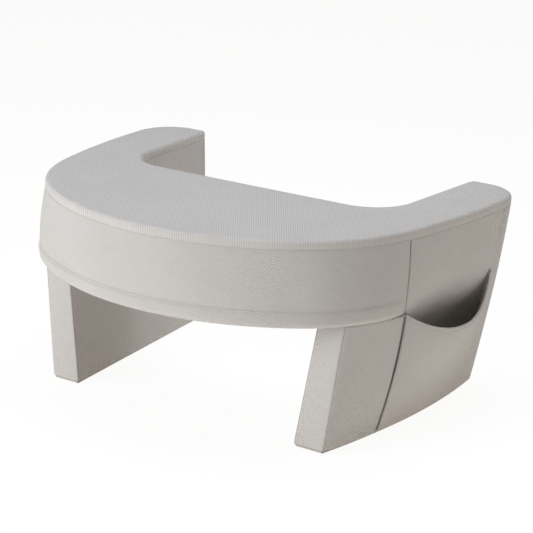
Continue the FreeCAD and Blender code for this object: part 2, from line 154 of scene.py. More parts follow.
plywood, shade = new_material("thin_plywood")
place = object_place(shade)
stretched = shade.add("ShaderNodeMapping", {"Vector": place, "Scale": (3.0, 60.0, 60.0)})
grain = shade.clouds(stretched, 2.5, 6.0)
shade.finish(shade.between(grain, (0.36, 0.22, 0.10), (0.66, 0.48, 0.28)), grain * 0.2 + 0.55, grain, 0.0003)

for node, material in (("top_pad", foam), ("slab_core", foam), ("left_leg_core", foam),
                       ("right_leg_core", foam), ("stiffener_board", plywood)):
    dress(node, material)

# Top panel: the ribbed cloth over the crescent, drawn round a soft rolled edge to the seam just below it.
# The ribs run slantwise across the desk and over the edge, as the cloth was cut in one piece.
half_width = 0.343
half_depth = 0.255
top_height = 0.319
seam_height = 0.306
underside_height = 0.194
top_front_y = -0.2452
front_half_sweep = math.radians(35.34)
side_radius = 1.0
widest_y = 0.195
side_seam_y = -0.035
pocket_seam_y = 0.184
waist_y = 0.025
waist_corner = 0.066
arm_inner_x = 0.250
toe_out = math.tan(math.radians(3.4))
side_centre = np.array((half_width - side_radius, widest_y))
seam_top_x = side_centre[0] + math.sqrt(side_radius ** 2 - (side_seam_y - widest_y) ** 2)

# The right leg's outline. Pairs are the values on the floor and at the underside, and threes end with
# the value at the top seam.
leg_front_y = (-0.142, -0.129)
leg_back_y = (0.251, half_depth)
leg_front_inner_x = (0.198, arm_inner_x - (half_depth - leg_front_y[1]) * toe_out)
leg_back_inner_x = (0.238, arm_inner_x)
leg_front_outer_x = (0.249, 0.272)
leg_outer_bow = (0.0015, 0.005)
leg_inner_radius = (0.010, 0.012)
leg_corner_radius = (0.018, 0.050, 0.062)
leg_seam_x = (0.268, 0.311, seam_top_x)
leg_widest_x = (0.277, 0.323, half_width)


def flat(x, y):
    return np.array((x, y), float)


def unit(direction):
    return direction / np.linalg.norm(direction)


def right_of(direction):
    return unit(flat(direction[1], -direction[0]))


def on_circle(centre, radius, towards):
    return centre + unit(towards - centre) * radius


def circle_centre(start, middle, end):
    first, second = middle - start, end - start
    double = 2 * (first[0] * second[1] - first[1] * second[0])
    square, other = first.dot(first), second.dot(second)
    across = flat(second[1] * square - first[1] * other, first[0] * other - second[0] * square)
    return start + across / double


def run(segment, shares):
    """Places along an arc through three points, or along a line where the middle is None."""
    start, middle, end = segment
    shares = np.asarray(shares, float)
    if middle is None:
        return start + np.outer(shares, end - start)
    centre = circle_centre(start, middle, end)
    first, last = (math.atan2(*(place - centre)[::-1]) for place in (start, end))
    cross = (middle - start)[0] * (end - start)[1] - (middle - start)[1] * (end - start)[0]
    turn = (last - first) % (2 * math.pi) if cross > 0 else -((first - last) % (2 * math.pi))
    angles = first + turn * shares
    return centre + np.linalg.norm(start - centre) * np.column_stack((np.cos(angles), np.sin(angles)))


def mirror(path):
    """The path's mirror image in the desk's middle plane, run the same way round."""
    def flip(place):
        return None if place is None else place * (-1, 1)
    return [(flip(end), flip(middle), flip(start)) for start, middle, end in reversed(path)]


def mix(low, high, share):
    return low + (high - low) * share


def through_three(floor, underside, seam, z):
    """Value on the parabola through the floor, underside and top-seam values."""
    low, top = z / underside_height, seam_height / underside_height
    return (floor * (low - 1) * (low - top) / top + underside * low * (low - top) / (1 - top)
            + seam * low * (low - 1) / (top * (top - 1)))


def leg_outline(z, hollow=0.0):
    """Right leg at a height: front, outer front, side in two lengths, corner, back, corner, inner side."""
    share = min(z / underside_height, 1.0)
    front_y = mix(*leg_front_y, share)
    back_y = mix(*leg_back_y, share)
    front_inner = flat(mix(*leg_front_inner_x, share), front_y)
    inner_back = flat(mix(*leg_back_inner_x, share), half_depth)
    front_outer = flat(mix(*leg_front_outer_x, share), front_y)
    seam = flat(through_three(*leg_seam_x, z), side_seam_y)
    wide = flat(through_three(*leg_widest_x, z), widest_y)
    chord = wide - seam
    centre = (seam + wide) / 2 - right_of(chord) * math.sqrt(side_radius ** 2 - chord.dot(chord) / 4)
    pocket = flat(centre[0] + math.sqrt(side_radius ** 2 - (pocket_seam_y - centre[1]) ** 2), pocket_seam_y)
    side_middle = on_circle(centre, side_radius, (seam + pocket) / 2) - right_of(pocket - seam) * hollow
    radius = through_three(*leg_corner_radius, z)
    corner = flat(0, back_y - radius)
    corner[0] = centre[0] + math.sqrt((side_radius - radius) ** 2 - (corner[1] - centre[1]) ** 2)
    corner_start = on_circle(centre, side_radius, corner)
    corner_end = flat(corner[0], back_y)
    inner_radius = mix(*leg_inner_radius, share)
    into_leg = right_of(inner_back - front_inner)
    inner = flat(0, back_y - inner_radius)
    inner[0] = front_inner[0] + (inner_radius - into_leg[1] * (inner[1] - front_inner[1])) / into_leg[0]
    inner_start = flat(inner[0], back_y)
    inner_end = inner - into_leg * inner_radius
    bow = mix(*leg_outer_bow, share)
    return [
        (front_inner, None, front_outer),
        (front_outer, (front_outer + seam) / 2 + right_of(seam - front_outer) * bow, seam),
        (seam, side_middle, pocket),
        (pocket, on_circle(centre, side_radius, (pocket + corner_start) / 2), corner_start),
        (corner_start, on_circle(corner, radius, (corner_start + corner_end) / 2), corner_end),
        (corner_end, None, inner_start),
        (inner_start, on_circle(inner, inner_radius, (inner_start + inner_end) / 2), inner_end),
        (inner_end, None, front_inner),
    ]


arm = leg_outline(seam_height)
seam_top = arm[1][2]
to_seam = (seam_top - side_centre) / side_radius
to_join = flat(math.sin(front_half_sweep), -math.cos(front_half_sweep))
seam_turn = to_seam - to_join
front_rise = 1 + to_join[1]
seam_depth = seam_top[1] - top_front_y
shoulder = ((seam_depth * to_join[0] - seam_top[0] * front_rise)
            / (to_join[0] * seam_turn[1] - seam_turn[0] * front_rise))
shoulder_centre = seam_top - to_seam * shoulder
shoulder_start = shoulder_centre + to_join * shoulder
shoulder_middle = on_circle(shoulder_centre, shoulder, (shoulder_start + seam_top) / 2)
shoulder_arc = (shoulder_start, shoulder_middle, seam_top)
corner_start = arm[4][0]
side_arc = (seam_top, on_circle(side_centre, side_radius, (seam_top + corner_start) / 2), corner_start)
inner_end = arm[7][0]
into_arm = -right_of(arm[7][2] - arm[7][0])
waist_centre = flat(0, waist_y + waist_corner)
waist_centre[0] = inner_end[0] - (waist_corner + into_arm[1] * (waist_centre[1] - inner_end[1])) / into_arm[0]
waist_start = waist_centre + into_arm * waist_corner
waist_end = flat(waist_centre[0], waist_y)
inner_line = (inner_end, None, waist_start)
waist_arc = (waist_start, on_circle(waist_centre, waist_corner, (waist_start + waist_end) / 2), waist_end)
front_middle = flat(0, top_front_y)
front_arc = (shoulder_start * (-1, 1), front_middle, shoulder_start)
outer_half = [(front_middle, run(front_arc, [0.75])[0], shoulder_start), shoulder_arc, side_arc, arm[4]]
inner_half = [arm[6], inner_line, waist_arc, (waist_end, None, flat(0, waist_y))]
outer_counts = (40, 36, 44, 16)
inner_counts = (10, 30, 30, 66)
half_size = sum(outer_counts)
cross_count = 26


def trace(path, counts):
    """Points along a path, each segment cut into its own count of equal lengths."""
    places = [path[0][0][None, :]]
    for segment, count in zip(path, counts):
        places.append(run(segment, np.arange(1, count + 1) / count))
    return np.vstack(places)


def rim_normals(ring):
    along = np.roll(ring, -1, axis=0) - np.roll(ring, 1, axis=0)
    along /= np.linalg.norm(along, axis=1)[:, None]
    return np.column_stack((along[:, 1], -along[:, 0]))


right_rim = trace(outer_half + [arm[5]] + inner_half, outer_counts + (cross_count,) + inner_counts)
left_rim = right_rim[::-1][1:-1] * (-1, 1)
rim = np.vstack((right_rim, left_rim))
outward = rim_normals(rim)
edge_roll = 0.005
flat_margin = 0.0035
roll_steps = 8
seam_turns = ((0.0006, -0.0002), (0.0002, 0.0004), (0.0, 0.0012))
pinned_rings = 5
rings = [(depth, seam_height + rise) for depth, rise in seam_turns]
for step in range(roll_steps + 1):
    angle = math.pi / 2 * step / roll_steps
    rings.append((edge_roll * (1 - math.cos(angle)), top_height - edge_roll * (1 - math.sin(angle))))
rings.append((edge_roll + flat_margin, top_height))
points = [np.column_stack((rim - outward * depth, np.full(len(rim), z))) for depth, z in rings]
ring_size = len(rim)
faces = []
for ring in range(len(rings) - 1):
    for column in range(ring_size):
        after = (column + 1) % ring_size
        faces.append((ring * ring_size + column, ring * ring_size + after,
                      (ring + 1) * ring_size + after, (ring + 1) * ring_size + column))

# The flat inside the last ring is filled with lines from its outer half to its inner half. The arms' ends
# are the first and the last of these lines.
last_ring = (len(rings) - 1) * ring_size
flat_points = np.vstack(points)
inside = []
columns = []
for index in range(-half_size, half_size + 1):
    outer_id = last_ring + index % ring_size
    inner_id = last_ring + (ring_size // 2 - index) % ring_size
    column = [outer_id]
    for step in range(1, cross_count):
        if abs(index) == half_size:
            column.append(last_ring + (index + int(math.copysign(step, index))) % ring_size)
        else:
            column.append(len(flat_points) + len(inside))
            inside.append(mix(flat_points[outer_id], flat_points[inner_id], step / cross_count))
    columns.append(column + [inner_id])
for before, after in zip(columns, columns[1:]):
    faces += [(before[k], after[k], after[k + 1], before[k + 1]) for k in range(cross_count)]
top_points = np.vstack((flat_points, inside))
top_pinned = list(range(pinned_rings * ring_size))


def new_piece(name, places, polygons, material, maps=None):
    mesh = bpy.data.meshes.new(name)
    mesh.from_pydata([tuple(place) for place in places], [], polygons)
    if maps is not None:
        layer = mesh.uv_layers.new(name="cloth")
        corners = np.empty(len(mesh.loops), int)
        mesh.loops.foreach_get("vertex_index", corners)
        layer.data.foreach_set("uv", maps[corners, :2].ravel())
        # The third value of maps becomes the attribute seam: how deep the point is drawn into a seam, which
        # the twill turns into painted shade in the seam's crease.
        mesh.attributes.new("seam", "FLOAT", "POINT").data.foreach_set("value", maps[:, 2].copy())
    mesh.shade_smooth()
    mesh.materials.append(material)
    piece = bpy.data.objects.new(name, mesh)
    scene.collection.objects.link(piece)
    return piece


def stuffed(piece, pinned, most):
    """Blows the cloth out against its pinned seams and keeps the result, no point further out than most."""
    mesh = piece.data
    start = np.empty(len(mesh.vertices) * 3)
    mesh.vertices.foreach_get("co", start)
    piece.vertex_groups.new(name="seam").add(pinned, 1.0, "REPLACE")
    cloth = piece.modifiers.new("stuffing", "CLOTH")
    cloth.settings.quality = 5
    cloth.settings.mass = 0.3
    cloth.settings.tension_stiffness = 15.0
    cloth.settings.compression_stiffness = 15.0
    cloth.settings.shear_stiffness = 5.0
    cloth.settings.bending_stiffness = 0.5
    cloth.settings.use_pressure = True
    cloth.settings.uniform_pressure_force = 4.0
    cloth.settings.vertex_group_mass = "seam"
    cloth.settings.effector_weights.gravity = 0.0
    cloth.collision_settings.use_collision = False
    for step in range(1, 21):
        scene.frame_set(step)
    blown = piece.evaluated_get(bpy.context.evaluated_depsgraph_get()).data
    end = np.empty_like(start)
    blown.vertices.foreach_get("co", end)
    piece.modifiers.remove(cloth)
    piece.vertex_groups.clear()
    scene.frame_set(1)
    moved = (end - start).reshape(-1, 3)
    furthest = np.linalg.norm(moved, axis=1).max()
    print("%-24s blown %.1f mm, kept to %.1f" % (piece.name, furthest * 1000, most * 1000))
    return moved * min(1.0, most / max(furthest, 1e-9))


def point_normals(places, polygons):
    """Outward direction at every point, averaged over the faces that meet there."""
    normals = np.zeros_like(places)
    for polygon in polygons:
        corners = places[list(polygon)]
        facing = np.cross(corners[2] - corners[0], corners[-1] - corners[1])
        normals[list(polygon)] += facing
    lengths = np.linalg.norm(normals, axis=1)
    return normals / np.maximum(lengths, 1e-12)[:, None]


def cover(piece, node, thickness, maps=None):
    """Gives the panel its thickness inwards and sews it on in place of the source's solid."""
    mesh = piece.data
    count = len(mesh.vertices)
    outside = np.empty(count * 3)
    mesh.vertices.foreach_get("co", outside)
    outside = outside.reshape(-1, 3)
    polygons = [tuple(polygon.vertices) for polygon in mesh.polygons]
    inside = outside - point_normals(outside, polygons) * thickness
    sides = {}
    for polygon in polygons:
        for start, end in zip(polygon, polygon[1:] + polygon[:1]):
            sides[start, end] = True
    walls = [(end, start, start + count, end + count) for start, end in sides if (end, start) not in sides]
    lining = [tuple(corner + count for corner in reversed(polygon)) for polygon in polygons]
    if maps is not None:
        maps = np.vstack((maps, maps))
    material = mesh.materials[0]
    name = piece.name
    bpy.data.objects.remove(piece)
    bpy.data.meshes.remove(mesh)
    piece = new_piece(name, np.vstack((outside, inside)), polygons + walls + lining, material, maps)
    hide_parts(node)
    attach(piece, "desk")


def first_two(shade, place):
    """The first two values of a place, by themselves."""
    apart = shade.add("ShaderNodeSeparateXYZ", {0: place}).socket.node.outputs
    return Shade(shade.tree, apart[0]), Shade(shade.tree, apart[1])


cloth_low = (0.465, 0.437, 0.408)
cloth_high = (0.655, 0.622, 0.588)
nap = {"Sheen_Weight": 0.08, "Sheen_Roughness": 0.6}
rib_x, rib_y = 0.821, 0.571
rib_pitch = 0.0032
rib_thread_pitch = 0.0020
rib_relief = 0.00025
ribbed, shade = new_material("ribbed_top_cloth")
place = object_place(shade)
x_axis, y_axis = first_two(shade, place)
across = x_axis * rib_x + y_axis * rib_y
along = y_axis * rib_x - x_axis * rib_y
drift = shade.clouds(place, 38.0)
rib = (across + drift * 0.0006).wave(rib_pitch)
rib_thread = along.wave(rib_thread_pitch)
fuzz = shade.clouds(place, 900.0)
mottle = shade.clouds(place, 14.0, 3.0)
raised = rib * 0.72 + rib_thread * 0.14 + fuzz * 0.1
tone = rib * 0.6 + fuzz * 0.2 + mottle * 0.3 - 0.05
shade.finish(shade.between(tone, cloth_low, cloth_high), 0.96 - rib * 0.10, raised, rib_relief, **nap)

top_puff = 0.0016
cloth_thickness = 0.0025
top = new_piece("top_cloth", top_points, faces, ribbed)
top_points += stuffed(top, top_pinned, top_puff)
top.data.vertices.foreach_set("co", top_points.ravel())
cover(top, "top_panel", cloth_thickness)

# Front apron: one curved band of twill between the side seams, swelling towards its hem. Its edges turn
# in where it is sewn to the top panel and to the side panels.
# The darkest stop of the twill's colour is painted shade, laid along the crease of every seam where the cloth
# is drawn in.
painted_seam_shade = (0.135, 0.120, 0.105)
ridge_pitch = 0.0038
crossing_pitch = 0.0030
twill_relief = 0.0006
twill, shade = new_material("twill_side_cloth")
cloth_map = shade.add("ShaderNodeTexCoord", {}, out=2)
place = object_place(shade)
warp, weft = first_two(shade, cloth_map)
drift = shade.clouds(place, 30.0) * 0.0010
ridge = (warp + weft + drift).wave(ridge_pitch)
crossing = (warp - weft + drift).wave(crossing_pitch)
fuzz = shade.clouds(place, 850.0)
mottle = shade.clouds(place, 11.0, 3.0)
# The attribute seam darkens the twill towards the painted seam shade where the cloth is drawn into a seam:
# painted shade in the crease.
painted_seam_shade_share = shade.add("ShaderNodeAttribute", {}, out=2, attribute_name="seam")
raised = ridge * 0.55 + crossing * 0.28 + fuzz * 0.1
tone = ridge * 0.46 + crossing * 0.14 + fuzz * 0.1 + mottle * 0.3
colour = shade.ramp(tone * 0.6 + 0.4 - painted_seam_shade_share * 0.62,
                    (0.0, painted_seam_shade), (0.4, cloth_low), (1.0, cloth_high))
shade.finish(colour, 0.97 - ridge * 0.08, raised, twill_relief, **nap)

edge_steps = (0.0005, 0.0012, 0.0028)
edge_rows = len(edge_steps) + 1
full_seam = 0.0018


def with_edges(grid):
    """Adds three close rows inside each border, where the cloth turns into the seam."""
    for axis in (0, 1):
        grid = np.swapaxes(grid, 0, axis)
        low = [grid[0] + (grid[1] - grid[0]) * step / np.linalg.norm(grid[1] - grid[0], axis=1)[:, None]
               for step in edge_steps]
        high = [grid[-1] + (grid[-2] - grid[-1]) * step / np.linalg.norm(grid[-2] - grid[-1], axis=1)[:, None]
                for step in reversed(edge_steps)]
        grid = np.concatenate((grid[:1], low, grid[1:-1], high, grid[-1:]))
        grid = np.swapaxes(grid, 0, axis)
    return grid


def grid_normals(grid):
    along = np.gradient(grid, axis=1)
    up = np.gradient(grid, axis=0)
    normals = np.cross(along, up)
    return normals / np.linalg.norm(normals, axis=2)[:, :, None]


def grid_faces(rows, columns):
    return [(row * columns + column, row * columns + column + 1,
             (row + 1) * columns + column + 1, (row + 1) * columns + column)
            for row in range(rows - 1) for column in range(columns - 1)]


def border_depth(count, depths):
    """How deep each row is drawn into the seams at the first and the last border."""
    fall = np.array([(1 - step / edge_steps[-1]) ** 2 for step in (0.0,) + edge_steps])
    drawn = np.zeros(count)
    drawn[:edge_rows] = fall * depths[0]
    drawn[-edge_rows:] = fall[::-1] * depths[1]
    return drawn


def sewn_panel(name, node, grid, puff, seams, thickness=cloth_thickness):
    """Panel from rows of points that run counter-clockwise, from the bottom up. It is blown out by puff
    at most, and seams says how deep the bottom, top, start and end borders are drawn in."""
    grid = with_edges(np.asarray(grid, float))
    rows, columns = grid.shape[:2]
    span = np.linalg.norm(np.diff(grid, axis=1), axis=2).mean(axis=0)
    rise = np.linalg.norm(np.diff(grid, axis=0), axis=2).mean(axis=1)
    warp_at = np.concatenate(([0.0], np.cumsum(span)))
    weft_at = np.concatenate(([0.0], np.cumsum(rise)))
    drawn = np.maximum(border_depth(rows, seams[:2])[:, None], border_depth(columns, seams[2:])[None, :])
    # The third value is the share of a full seam's depth, which the twill uses for its painted seam shade.
    maps = np.dstack((*np.meshgrid(warp_at, weft_at), drawn / full_seam)).reshape(-1, 3)
    piece = new_piece(name, grid.reshape(-1, 3), grid_faces(rows, columns), twill)
    inner = np.zeros((rows, columns), bool)
    inner[edge_rows:-edge_rows, edge_rows:-edge_rows] = True
    pinned = [int(index) for index in np.flatnonzero(~inner.ravel())]
    normals = grid_normals(grid)
    grid = grid + stuffed(piece, pinned, puff).reshape(grid.shape)
    grid = grid - normals * drawn[:, :, None]
    piece.data.vertices.foreach_set("co", grid.ravel())
    cover(piece, node, thickness, maps)


def level(path, counts, z):
    """Points along a path, all at one height."""
    places = trace(path, counts)
    return np.column_stack((places, np.full(len(places), z)))


hem_height = 0.220
apron_bulge = 0.009
apron_counts = (30, 92, 30)


def apron_path(z, bulge):
    """Apron line at a height from the left seam to the right, swollen out in front."""
    seam = leg_outline(z)[1][2]
    middle_out = unit(shoulder_arc[1] - shoulder_centre)
    start = shoulder_start + to_join * bulge
    middle = shoulder_arc[1] + middle_out * bulge + flat((seam[0] - seam_top[0]) / 2, 0)
    right = [(start, middle, flat(seam[0], side_seam_y))]
    front = (start * (-1, 1), flat(0, top_front_y - bulge), start)
    return mirror(right) + [front] + right


def apron_swell(z):
    """How far the apron stands out at a height: nothing at the top seam, most at the hem."""
    share = (seam_height - z) / (seam_height - hem_height)
    return apron_bulge * math.sin(share * math.pi / 2)


apron_rows = [level(apron_path(z, apron_swell(z)), apron_counts, z)
              for z in np.linspace(hem_height, seam_height, 14)]
sewn_panel("apron_cloth", "front_apron", apron_rows, puff=0.002,
           seams=(0.0, 0.0001, full_seam, full_seam))

# Apron border: the turned lower edge of the front, a padded band that rolls under to the lining.
# It is sewn on with a row of pale thread along its upper edge.
border_proud = 0.0004
border_bulge = 0.0102
border_drops = (0.0055, 0.011)
border_roll = 0.010
border_tuck = 0.002
border_places = [(hem_height, apron_bulge + border_proud)]
border_places += [(hem_height - drop, border_bulge) for drop in border_drops]
for step in range(roll_steps + 1):
    angle = math.pi / 2 * step / roll_steps
    border_places.append((underside_height + border_roll * (1 - math.sin(angle)),
                          (border_roll + border_tuck) * math.cos(angle) - border_tuck))
border_rows = [level(apron_path(z, bulge), apron_counts, z) for z, bulge in reversed(border_places)]
sewn_panel("border_cloth", "apron_border", border_rows, puff=0.0008,
           seams=(0.0004, 0.0, full_seam, full_seam))

thread, shade = new_material("pale_thread")
place = object_place(shade)
twist = shade.clouds(place, 1500.0)
shade.finish(shade.between(twist, (0.56, 0.53, 0.48), (0.74, 0.71, 0.66)), twist * 0.1 + 0.7, twist, 0.0002)


def stitch_tree():
    """Nodes that lay a stitch at every pitch along a line."""
    tree = bpy.data.node_groups.new("stitch_row", "GeometryNodeTree")
    sockets = tree.interface
    sockets.new_socket("Line", in_out="INPUT", socket_type="NodeSocketGeometry")
    for name in ("Pitch", "Stitch Length", "Thread Radius"):
        sockets.new_socket(name, in_out="INPUT", socket_type="NodeSocketFloat")
    sockets.new_socket("Thread", in_out="INPUT", socket_type="NodeSocketMaterial")
    sockets.new_socket("Stitches", in_out="OUTPUT", socket_type="NodeSocketGeometry")

    def node(kind, inputs, **settings):
        made = tree.nodes.new(kind)
        for key, value in settings.items():
            setattr(made, key, value)
        for key, value in inputs.items():
            if isinstance(value, bpy.types.NodeSocket):
                tree.links.new(value, made.inputs[key])
            else:
                made.inputs[key].default_value = value
        return made

    given = node("NodeGroupInput", {}).outputs
    curve = node("GeometryNodeMeshToCurve", {"Mesh": given["Line"]})
    stations = node("GeometryNodeCurveToPoints", {"Curve": curve.outputs[0], "Length": given["Pitch"]},
                    mode="LENGTH")
    bead = node("GeometryNodeMeshUVSphere", {"Segments": 6, "Rings": 4, "Radius": 1.0})
    size = node("ShaderNodeCombineXYZ", {0: given["Thread Radius"], 1: given["Thread Radius"],
                                         2: given["Stitch Length"]})
    laid = node("GeometryNodeInstanceOnPoints", {"Points": stations.outputs["Points"],
                                                 "Instance": bead.outputs["Mesh"],
                                                 "Rotation": stations.outputs["Rotation"],
                                                 "Scale": size.outputs[0]})
    real = node("GeometryNodeRealizeInstances", {"Geometry": laid.outputs[0]})
    coloured = node("GeometryNodeSetMaterial", {"Geometry": real.outputs[0], "Material": given["Thread"]})
    result = tree.nodes.new("NodeGroupOutput")
    tree.links.new(coloured.outputs[0], result.inputs[0])
    return tree


stitch_row = stitch_tree()
stitch_pitch = 0.0046
stitch_half_length = stitch_pitch * 0.36
thread_radius = 0.0004


def stitches(name, line):
    """A row of stitches along a line of points."""
    mesh = bpy.data.meshes.new(name + "_line")
    mesh.from_pydata([tuple(place) for place in line], [(k, k + 1) for k in range(len(line) - 1)], [])
    holder = bpy.data.objects.new(name + "_line", mesh)
    scene.collection.objects.link(holder)
    sewing = holder.modifiers.new("sewing", "NODES")
    sewing.node_group = stitch_row
    values = {"Pitch": stitch_pitch, "Stitch Length": stitch_half_length, "Thread Radius": thread_radius,
              "Thread": thread}
    for item in stitch_row.interface.items_tree:
        if item.name in values and item.in_out == "INPUT":
            sewing[item.identifier] = values[item.name]
    bpy.context.view_layer.update()
    ready = holder.evaluated_get(bpy.context.evaluated_depsgraph_get())
    row = bpy.data.objects.new(name, bpy.data.meshes.new_from_object(ready))
    holder.modifiers.clear()
    bpy.data.objects.remove(holder)
    row.data.shade_smooth()
    scene.collection.objects.link(row)
    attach(row, "desk")


hem_stitch_height = hem_height - 0.004
hem_stitch_bulge = apron_bulge + 0.0022
hem_path = apron_path(hem_stitch_height, hem_stitch_bulge)
stitches("hem_stitches", level(hem_path, apron_counts, hem_stitch_height))

# Bay panel: the band round the inside of the crescent, where the user sits in. It is sewn to the top
# panel above and to the lining and the legs' inner panels below.
bay_path = [inner_line, waist_arc, (waist_end, None, waist_end * (-1, 1))] + mirror([inner_line, waist_arc])
bay_counts = (24, 22, 54, 22, 24)
bay_rows = [level(bay_path, bay_counts, z) for z in np.linspace(underside_height, seam_height, 16)]
sewn_panel("bay_cloth", "bay_panel", bay_rows, puff=0.003, seams=(0.0010, 0.0003, 0.0004, 0.0004))

# Legs: each is the arm of the crescent carried down to the floor, leaning and tapering, in four panels
# sewn at crisp corners. The right side panel is drawn into a hollow in the foam behind the pocket.
sole_height = 0.003
sole_round = 0.0095
foot_heights = [sole_height, 0.005, 0.0075]
leg_row_start = 0.0115
leg_row_gap = 0.0068
niche_bottom = 0.008
niche_top = 0.250
niche_depth = 0.036


def niche_at(z):
    """Depth of the hollow behind the pocket."""
    share = min(max((z - niche_bottom) / (niche_top - niche_bottom), 0.0), 1.0)
    return niche_depth * math.sin(math.pi * share) ** 2


def ends_out(segment):
    """Outward directions at a segment's start, middle and end."""
    start, middle, end = segment
    if middle is None:
        normal = right_of(end - start)
        return normal, normal, normal
    centre = circle_centre(start, middle, end)
    normals = [unit(place - centre) for place in segment]
    sign = 1 if normals[1].dot(right_of(end - start)) > 0 else -1
    return tuple(normal * sign for normal in normals)


def inset(outline, depth):
    """A closed outline moved inwards by depth, with mitred corners."""
    normals = [ends_out(segment) for segment in outline]
    corners = []
    for index, segment in enumerate(outline):
        before, after = normals[index - 1][2], normals[index][0]
        corners.append(segment[0] - (before + after) * depth / (1 + before.dot(after)))
    return [(corners[index], None if segment[1] is None else segment[1] - normals[index][1] * depth,
             corners[(index + 1) % len(outline)]) for index, segment in enumerate(outline)]


def foot_inset(z):
    """How far the outline draws in at a height where the foot is rounded."""
    if z >= sole_round:
        return 0.0
    return sole_round - math.sqrt(sole_round ** 2 - (sole_round - z) ** 2)


def leg_rows(first, last, counts, highest, hollow_side):
    """Rows of points over some of the leg's outline segments, from the sole up."""
    rows = []
    for z in foot_heights + list(np.linspace(leg_row_start, highest, int(highest / leg_row_gap))):
        outline = inset(leg_outline(z, niche_at(z) * hollow_side), foot_inset(z))
        rows.append(level(outline[first:last], counts, z))
    return np.array(rows)


# Each panel's name, node, first and last outline segment, counts, top, puff and seams.
leg_panels = (
    ("leg_front", "leg_front_panel", 0, 1, (10,), underside_height, 0.0022, (0.0, 0.0010, 0.0010, 0.0025)),
    ("leg_outer", "leg_outer_panel", 1, 2, (17,), underside_height, 0.0025, (0.0, 0.0012, 0.0025, full_seam)),
    ("leg_side", "side_panel", 2, 7, (34, 6, 16, 8, 8), seam_height, 0.003, (0.0, 0.0005, full_seam, 0.0004)),
    ("leg_inner", "leg_inner_panel", 7, 8, (54,), underside_height, 0.004, (0.0, 0.0010, 0.0004, 0.0010)),
)
for side, hollow_side in (("right", 1), ("left", 0)):
    for name, node, first, last, counts, highest, puff, seams in leg_panels:
        rows = leg_rows(first, last, counts, highest, hollow_side)
        if side == "left":
            rows = rows[:, ::-1] * (-1, 1, 1)
            seams = seams[:2] + seams[:1:-1]
        sewn_panel("%s_%s_cloth" % (side, name), side + "_" + node, rows, puff, seams)

# Soles: a hard-wearing coarse weave under each leg, with its edge rounded up to meet the panels. The flat
# underside is shaded flat, so that the rounding ends where the leg stands on the floor.
basket_pitch = 0.0032
coarse, shade = new_material("coarse_sole_cloth")
place = object_place(shade)
x_axis, y_axis = first_two(shade, place)
basket = x_axis.wave(basket_pitch) * y_axis.wave(basket_pitch)
fuzz = shade.clouds(place, 700.0)
shade.finish(shade.between(basket * 0.7 + fuzz * 0.3, (0.36, 0.335, 0.31), (0.58, 0.55, 0.515)),
             fuzz * 0.1 + 0.85, basket + fuzz * 0.3, 0.0006)
sole_counts = (8, 14, 26, 4, 8, 3, 5, 40)
sole_levels = (sole_height, 0.0018, 0.0008, 0.0002, 0.0)
for side in ("right", "left"):
    sole_rings = []
    for z in sole_levels:
        ring = level(inset(leg_outline(z), foot_inset(z)), sole_counts, z)[:-1]
        sole_rings.append(ring if side == "right" else ring[::-1] * (-1, 1, 1))
    size = len(sole_rings[0])
    lowest = (len(sole_rings) - 1) * size
    polygons = []
    for upper in range(0, lowest, size):
        lower = upper + size
        for column in range(size):
            after = (column + 1) % size
            polygons.append((lower + column, lower + after, upper + after, upper + column))
    polygons.append(tuple(reversed(range(lowest, lowest + size))))
    polygons.append(tuple(range(size)))
    sole = new_piece(side + "_sole", np.vstack(sole_rings), polygons, coarse)
    for polygon in sole.data.polygons[-2:]:
        polygon.use_smooth = False
    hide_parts(side + "_foot_pad")
    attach(sole, "desk")

# Pocket: a patch of the twill sewn over the right side from the side seam to a seam near the back, with
# a dipping mouth. It stands away from the hollow in the leg, and its mouth is bound with a narrow roll.
pocket_bottom = 0.009
pocket_gap = 0.0025
pocket_bulge = 0.027
pocket_swell_rise = 0.162
pocket_thickness = 0.002
mouth_low = flat(0.092, 0.154)
mouth_ends = (flat(side_seam_y, 0.195), flat(pocket_seam_y, 0.209))


def mouth_height(y):
    """Height of the mouth's edge, on an arc from its lowest place up to either seam."""
    end = mouth_ends[0] if y < mouth_low[0] else mouth_ends[1]
    across, rise = abs(end[0] - mouth_low[0]), end[1] - mouth_low[1]
    radius = (across ** 2 + rise ** 2) / (2 * rise)
    return mouth_low[1] + radius - math.sqrt(radius ** 2 - min(abs(y - mouth_low[0]), across) ** 2)


def pocket_place(share, z):
    """A place on the pocket, at a share of the way from the side seam to the back seam."""
    start, middle, end = inset(leg_outline(z), -pocket_gap)[2]
    rise = min(max((z - pocket_bottom) / pocket_swell_rise, 0.0), 1.0)
    swell = pocket_bulge * rise * rise * (3 - 2 * rise)
    place = run((start, middle + right_of(end - start) * swell, end), [share])[0]
    return (place[0], place[1], z)


pocket_columns = np.linspace(0.0, 1.0, 37)
pocket_rows = []
for height_share in np.linspace(0.0, 1.0, 26):
    row = []
    for share in pocket_columns:
        y = mix(side_seam_y, pocket_seam_y, share)
        row.append(pocket_place(share, mix(pocket_bottom, mouth_height(y), height_share)))
    pocket_rows.append(row)
sewn_panel("pocket_cloth", "right_pocket", pocket_rows, puff=0.002,
           seams=(0.0004, 0.0, full_seam, full_seam), thickness=pocket_thickness)


def tube_faces(count, sides):
    """Faces of a closed tube through count rings of points."""
    polygons = []
    for near in range(0, (count - 1) * sides, sides):
        for side in range(sides):
            after = (side + 1) % sides
            polygons.append((near + side, near + after, near + sides + after, near + sides + side))
    return polygons + [tuple(reversed(range(sides))), tuple(range((count - 1) * sides, count * sides))]


def turn_faces_out(piece):
    """Makes every face of a closed piece look outwards."""
    shell = bmesh.new()
    shell.from_mesh(piece.data)
    bmesh.ops.recalc_face_normals(shell, faces=shell.faces)
    shell.to_mesh(piece.data)
    shell.free()


